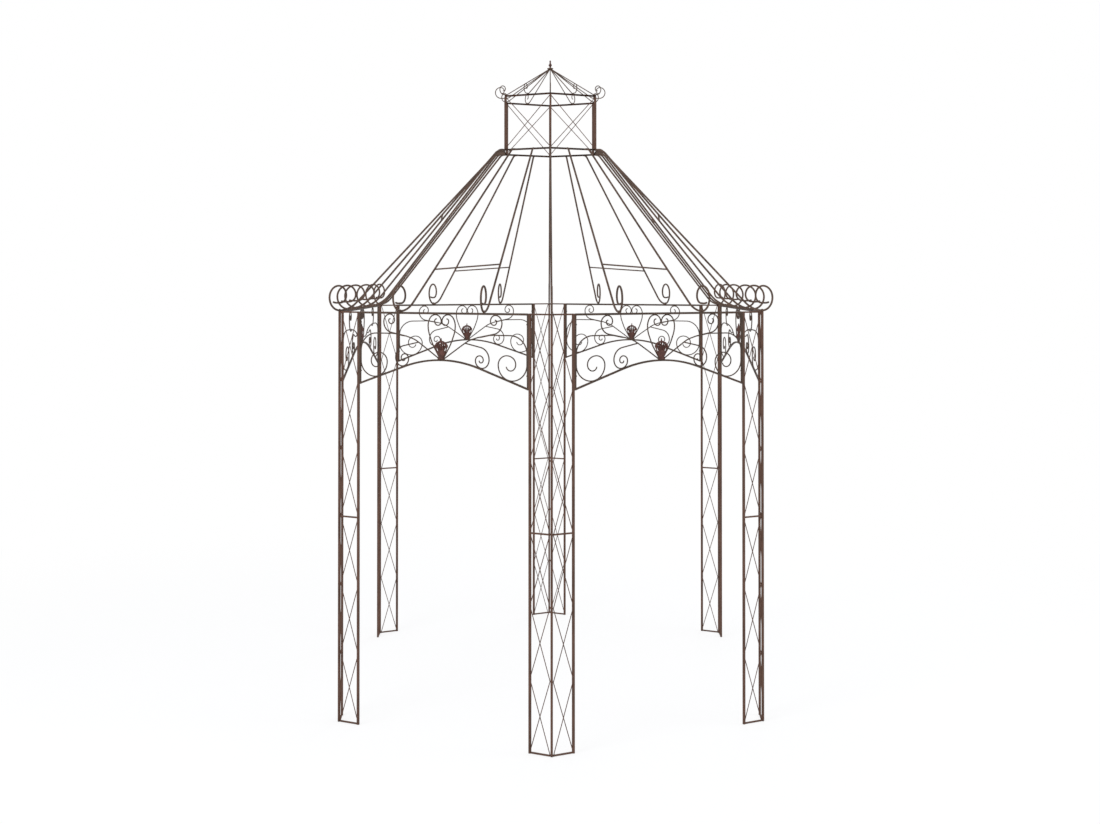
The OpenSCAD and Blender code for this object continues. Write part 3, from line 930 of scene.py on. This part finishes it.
def shell_drawing():
    bm = bmesh.new()
    cup(bm)
    for angle in RIB_ANGLES[1:-1]:
        rib(bm, angle)
    for side in (-1, 1):
        arm(bm, side)
    joints = [rim_point(angle) for angle in RIB_ANGLES]
    for start, end in zip(joints, joints[1:]):
        lobe(bm, start, end)
    for joint in joints:
        bmesh.ops.create_icosphere(bm, subdivisions=2, radius=RIM_BALL,
                                   matrix=Matrix.Translation(on_sheet(joint)))
    bmesh.ops.create_cone(bm, cap_ends=True, segments=8, radius1=POINT_FOOT_R,
                          radius2=POINT_TOP_R, depth=POINT_LONG,
                          matrix=Matrix.Translation((0.0, POINT_UP, 0.0))
                          @ Matrix.Rotation(-UP, 4, "X"))
    bmesh.ops.scale(bm, vec=(1.0, 1.0, DEEPEN), verts=bm.verts)
    bmesh.ops.translate(bm, vec=(0.0, 0.0, SHELL_OUT), verts=bm.verts)
    return bm


for i, name in enumerate(BAYS):
    crown = Matrix.Translation((0.0, arch_y(i, 0.0), 0.0))
    piece(f"{name}_shell_casting", shell_drawing(), bay_place(i) @ crown, CAST_PAINT,
          f"{name}_shell")

# %% [markdown]
# ## The rafters
#
# Every rafter is one long rod in an upright plane. It leaves the lantern's base ring
# level, bends down, runs straight, sweeps out level over the eave, and curls back up
# over it in a scroll that tightens and runs out in a short tail. A curve object could
# follow it, but as a chain of bends it needs only their radii: the drop and the run
# between its two ends fix the slope, so one function draws all of them.

# %% Rafter shape
ROD_W = 10 * MM
RING_W = 12 * MM
STUB = 25 * MM
TOP_BEND, EAVE_BEND = 60 * MM, 200 * MM
BENDS = TOP_BEND + EAVE_BEND
CURL = 80 * MM
CURL_STEPS = ((CURL * 0.94, 90), (CURL * 0.85, 90), (CURL * 0.7, 90), (CURL * 0.53, 88),
              (0, 24 * MM), (CURL * 1.1, 20))
CURL_TAPER, CURL_TIP = 0.94, 4.5 * MM
ROD_BOLT = 8 * MM
RAFTER_DROP = RING_Z - (EAVE + ROD_W / 2 + FIT)


def straight_run(run, drop, bends):
    """The slope and length of the straight part of a rod that covers a run and a drop.
    bends is the sum of its bends' radii."""
    below = drop - bends
    slope = math.atan2(below, run) + math.asin(bends / math.hypot(run, below))
    return slope, (drop - bends * (1 - math.cos(slope))) / math.sin(slope)


def rafter_drawing(bm, run):
    slope, length = straight_run(run, RAFTER_DROP, BENDS)
    down = math.degrees(slope)
    place, way = sweep(bm, ROD, (0.0, 0.0), 0.0, [(0, STUB), (-TOP_BEND, down), (0, length),
                                                  (EAVE_BEND, down)], chord=6.0)
    sweep(bm, ROD, place, way, CURL_STEPS, chord=7.5, taper=CURL_TAPER, tip=CURL_TIP)
    for y in (4 * MM, -4 * MM):
        bead(bm, (1 * MM, y), 3 * MM)
    bolt(bm, (place.x, place.y + ROD_W / 2 - 0.4 * MM, 0.0), (0.0, 1.0, 0.0), ROD_BOLT)


def rafter_point(top, foot, along_straight):
    """A point on the rafter's axis, some way down its straight run."""
    way = (foot - top).normalized()
    slope = straight_run((foot - top).length - STUB, RAFTER_DROP, BENDS)[0]
    out = STUB + TOP_BEND * math.sin(slope) + along_straight * math.cos(slope)
    down = TOP_BEND * (1 - math.cos(slope)) + along_straight * math.sin(slope)
    return Vector((*(top + out * way), RING_Z - down))


def add_rafter(bm, top, foot):
    """Adds the rafter from a point at the ring to a point over the eave."""
    drawing = bmesh.new()
    rafter_drawing(drawing, (foot - top).length - STUB)
    add_drawing(bm, drawing, stand((*top, RING_Z), heading(foot - top)))


# %% [markdown]
# A rafter starts against the lantern's base ring, whose size comes from the frame. Hip
# rafters start at the ring's corners. The others meet a side of the ring at a slant, so
# they start far enough out for the whole end of the rod to clear it.

# %% Where the rafters stand
ring_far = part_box("lantern_base_ring")[1]
LANTERN_HALF = ring_far.x - RING_W / 2
LANTERN_FAR = ring_far.y - RING_W / 2 / COS_30
LANTERN_NEAR = LANTERN_FAR - LANTERN_HALF * math.tan(math.radians(30.0))
LANTERN = [Vector((side * LANTERN_HALF, y)) for side, y in (
    (0, -LANTERN_FAR), (1, -LANTERN_NEAR), (1, LANTERN_NEAR),
    (0, LANTERN_FAR), (-1, LANTERN_NEAR), (-1, -LANTERN_NEAR))]
print("lantern half width", round(LANTERN_HALF, 4), "side", round(2 * LANTERN_NEAR, 4))


def hip_top(i):
    """Where a hip rafter starts, just outside corner i of the ring."""
    corner = LANTERN[i]
    way = (CORNERS[i] - corner).normalized()
    out = RING_W / 2 / COS_30
    return corner + way * (out * math.cos(heading(way) - corner_heading(i)) + FIT)


def bay_top(i, share, foot):
    """Where a rafter to foot starts, at some share of side i of the ring."""
    point = bay_point(LANTERN, i, share)
    way = (foot - point).normalized()
    skew = abs(math.radians(wrap(math.degrees(heading(way) - bay_heading(i)) + 90.0)))
    out = (RING_W / 2 + ROD_W / 2 * math.sin(skew)) / math.cos(skew)
    return point + way * (out + FIT)


# %% [markdown]
# Six hip rafters stand over the posts, each drawn for its own run.

# %% Hip rafters
for i, name in enumerate(POSTS):
    bm = bmesh.new()
    add_rafter(bm, hip_top(i), CORNERS[i])
    piece(f"{name}_hip_rafter_rod", bm, IN_PLACE, ROD_PAINT,
          f"{name}_hip_rafter")

# %% [markdown]
# Between the hips, rafters stand in pairs, and each pair is held by one level tie that
# is welded between them. A slanted bay has one pair, a side bay has two. Their places
# are shares of the bay's length, and the roof's other side counts them from the bay's
# other end, which mirrors it.

# %% Paired rafters
RAFTER_INSET = 430 * MM
SIDE_PAIR = 440 * MM
SHORT_RING_SHARES = (0.35, 0.75)
SHORT_TIE, LONG_TIE = 1170 * MM, 560 * MM
TIE_BITE = ROD_W * 0.35
TIE_BEAD, TIE_BEAD_IN = 4.6 * MM, 1.4


def rafter_pair(name, i, shares, ring_shares, tie_down):
    """Two rafters of bay i, with their tie some way down their straight runs."""
    bm = bmesh.new()
    feet = [bay_point(CORNERS, i, share) for share in shares]
    tops = [bay_top(i, share, foot) for share, foot in zip(ring_shares, feet)]
    for top, foot in zip(tops, feet):
        add_rafter(bm, top, foot)
    a, b = (rafter_point(top, foot, tie_down) for top, foot in zip(tops, feet))
    bite = (b - a).normalized() * TIE_BITE
    tie = bmesh.new()
    sweep(tie, TIE, (0.0, 0.0), 0.0, [(0, (b - a - 2 * bite).length)])
    aim = (b - a).to_track_quat("X", "Z").to_matrix().to_4x4()
    add_drawing(bm, tie, Matrix.Translation(a + bite) @ aim)
    for end in (a + bite * TIE_BEAD_IN, b - bite * TIE_BEAD_IN):
        bead(bm, end, TIE_BEAD)
    piece(f"{name}_rods", bm, IN_PLACE, ROD_PAINT, f"{name}_rafters")


def from_end(shares):
    """The same shares of a bay, counted from its other end."""
    return [1 - share for share in shares]


for i, name in enumerate(BAYS):
    inset = RAFTER_INSET / bay_length(i)
    if i in LONG_BAYS:
        pair = (inset, inset + SIDE_PAIR / bay_length(i))
        for end in ("front", "back"):
            shares = pair if (name == "right") == (end == "front") else from_end(pair)
            rafter_pair(f"{name}_{end}", i, shares, shares, LONG_TIE)
    else:
        shares, ring_shares = (inset, 1 - inset), SHORT_RING_SHARES
        if name in ("back_right", "front_left"):
            shares, ring_shares = from_end(shares), from_end(ring_shares)
        rafter_pair(name, i, shares, ring_shares, SHORT_TIE)

# %% [markdown]
# ## The lantern
#
# Its base ring and top ring are square bar, mitred at six corners. Six swept bars would
# leave open mitres, so a ring starts as a flat hexagon with the lantern's corners: an
# inset makes its width, the middle is taken out, and an extrusion gives its height
# before the edges are rounded.

# %% Rings
RING_ROUND = 1.2 * MM
RING_SHARP = 1.0


def hexagon_ring(bm, z, width):
    """A hexagonal ring of square bar on the lantern's corners, centred at height z."""
    out = width / 2 / COS_30
    grown = []
    for i, corner in enumerate(LANTERN):
        way = corner_heading(i)
        grown.append(bm.verts.new((corner.x + out * math.cos(way),
                                   corner.y + out * math.sin(way), z - width / 2)))
    outer = bm.faces.new(grown)
    bmesh.ops.inset_region(bm, faces=[outer], thickness=width, use_boundary=True,
                           use_even_offset=True)
    bmesh.ops.delete(bm, geom=[outer], context="FACES_ONLY")
    flat = list(dict.fromkeys(f for v in grown for f in v.link_faces))
    up = bmesh.ops.extrude_face_region(bm, geom=flat, use_keep_orig=True)
    raised = [v for v in up["geom"] if isinstance(v, bmesh.types.BMVert)]
    bmesh.ops.translate(bm, vec=(0.0, 0.0, width), verts=raised)
    edges = list(dict.fromkeys(e for f in flat for e in f.edges))
    edges += [e for e in up["geom"] if isinstance(e, bmesh.types.BMEdge)]
    sharp = [e for e in edges if e.is_valid and len(e.link_faces) == 2
             and e.calc_face_angle(0.0) > RING_SHARP]
    bmesh.ops.bevel(bm, geom=sharp, offset=RING_ROUND, offset_type="OFFSET",
                    affect="EDGES", segments=2, profile=0.5, material=-1)


ring_bm = bmesh.new()
hexagon_ring(ring_bm, RING_Z, RING_W)
piece("lantern_base_ring_bar", ring_bm, IN_PLACE, ROD_PAINT,
      "lantern_base_ring")

# %% [markdown]
# Six short tubes stand on the base ring and carry the top ring. Two thin wires cross in
# each face, one behind the other.

# %% Lantern frame
TOP_RING_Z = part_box("lantern_frame")[1].z - RING_W / 2
FACE_LOW = RING_Z + RING_W / 2 + FIT
FACE_TALL = TOP_RING_Z - RING_W / 2 - FACE_LOW
TUBE_BITE = 0.4 * MM
WIRE_LOW = 2 * MM
LANTERN_BEAD = 3 * MM

frame_bm = bmesh.new()
hexagon_ring(frame_bm, TOP_RING_Z, RING_W)
for i, corner in enumerate(LANTERN):
    tube = bmesh.new()
    sweep(tube, TUBE, (0.0, 0.0), UP, [(0, FACE_TALL + TUBE_BITE)])
    for aside in (5 * MM, -5 * MM):
        bead(tube, (aside, 1 * MM, aside), LANTERN_BEAD)
    add_drawing(frame_bm, tube, stand((*corner, FACE_LOW), corner_heading(i) + UP))
    across = LANTERN[(i + 1) % 6] - corner
    wide = across.length
    face = bmesh.new()
    rod_between(face, CROSS, (0.0, WIRE_LOW, WIRE_ASIDE), (wide, FACE_TALL, WIRE_ASIDE))
    rod_between(face, CROSS, (0.0, FACE_TALL, -WIRE_ASIDE), (wide, WIRE_LOW, -WIRE_ASIDE))
    bead(face, (wide / 2, FACE_TALL / 2 + 1 * MM), LANTERN_BEAD)
    add_drawing(frame_bm, face, stand((*corner, FACE_LOW), heading(across)))
piece("lantern_frame_bars", frame_bm, IN_PLACE, BAR_PAINT,
      "lantern_frame")

# %% [markdown]
# ## Cap and finial
#
# Twelve thin rods run from a small disc down to the top ring, come level and curl, like
# small rafters. The disc and the finial are turned shapes. They could be stacked from
# cylinders and balls, but one half outline, spun round the upright axis, leaves no
# seams.

# %% Cap ribs
CAP_ROD = 6 * MM
CAP_BAR = section("cap_rod_section", CAP_ROD, 10)
CAP_BEND = 40 * MM
HIP_CURL = (12, 32, 24, 19, 13)
BAY_CURL = (22, 31, 28, 18, 12)
SIDE_CURL = (34, 37, 34, 24, 15)
CURL_TURNS = (90, 90, 90, 110)
DISC_THICK = 8 * MM
DISC_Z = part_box("finial")[0].z - FIT - DISC_THICK
DISC_OUTLINE = ((0, 0), (17, 0), (19.4, 1.2), (20, 3), (20, 5), (19.2, 6.4), (16, 7.6),
                (0, 8))
CAP_TOP_Z = DISC_Z + DISC_THICK / 2
CAP_Z = TOP_RING_Z + RING_W / 2 + CAP_ROD / 2 + FIT


def cap_rib(bm, foot, curl):
    """A rib from the disc to foot and beyond. curl lists, in millimetres, the straight
    run past foot and then the radii of four bends."""
    drop = CAP_TOP_Z - CAP_Z
    slope, length = straight_run(foot.length, drop, CAP_BEND)
    rod = bmesh.new()
    place, way = sweep(rod, CAP_BAR, (0.0, 0.0), -slope,
                       [(0, length), (CAP_BEND, math.degrees(slope)), (0, curl[0] * MM)],
                       chord=7.5)
    bends = [(radius * MM, turn) for radius, turn in zip(curl[1:], CURL_TURNS)]
    sweep(rod, CAP_BAR, place, way, bends, chord=9.0, taper=SCROLL_TAPER, tip=SCROLL_TIP)
    bead(rod, (foot.length, -drop - 2 * MM), 3 * MM)
    add_drawing(bm, rod, stand((0.0, 0.0, CAP_TOP_Z), heading(foot)))


def from_height(z, outline):
    """An outline of (radius, height) in millimetres, set at height z."""
    return [(radius * MM, z + up * MM) for radius, up in outline]


def turned(bm, outline):
    """Spins an outline of (radius, z), from the axis to the axis, round the Z axis."""
    corners = [bm.verts.new((r, 0.0, z)) for r, z in outline]
    edges = [bm.edges.new(pair) for pair in zip(corners, corners[1:])]
    bmesh.ops.spin(bm, geom=corners + edges, cent=(0, 0, 0), axis=(0, 0, 1),
                   dvec=(0, 0, 0), angle=math.radians(360.0), steps=32, use_merge=True,
                   use_duplicate=False)
    bmesh.ops.remove_doubles(bm, verts=bm.verts, dist=1e-5)


cap_bm = bmesh.new()
turned(cap_bm, from_height(DISC_Z, DISC_OUTLINE))
for i, corner in enumerate(LANTERN):
    cap_rib(cap_bm, corner, HIP_CURL)
    cap_rib(cap_bm, bay_point(LANTERN, i, 0.5), SIDE_CURL if i in LONG_BAYS else BAY_CURL)
piece("lantern_cap_ribs", cap_bm, IN_PLACE, ROD_PAINT, "lantern_cap")

# %% [markdown]
# The finial is a foot, a ball, a small knob and a point.

# %% Finial
FINIAL_LOW, FINIAL_TOP = (corner.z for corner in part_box("finial"))
FOOT_OUTLINE = ((0, 0), (8, 0), (8.4, 1.5), (7, 3), (4.6, 4), (4.4, 6.5))
BALL_R, BALL_Z = 10.5 * MM, FINIAL_LOW + 17.5 * MM
KNOB_R, KNOB_Z = 5.6 * MM, FINIAL_TOP - 9 * MM
POINT_OUTLINE = ((1.8, -2.8), (1.0, -1.5), (0, 0))


def ball_outline(radius, middle, start, end):
    """Part of a ball's outline, from start to end in degrees from its lowest point."""
    return [(radius * math.sin(math.radians(a)), middle - radius * math.cos(math.radians(a)))
            for a in range(start, end, 13)]


finial_bm = bmesh.new()
turned(finial_bm, [*from_height(FINIAL_LOW, FOOT_OUTLINE),
                   *ball_outline(BALL_R, BALL_Z, 28, 146),
                   *ball_outline(KNOB_R, KNOB_Z, 50, 150),
                   *from_height(FINIAL_TOP, POINT_OUTLINE)])
piece("finial_turning", finial_bm, IN_PLACE, CAST_PAINT, "finial")
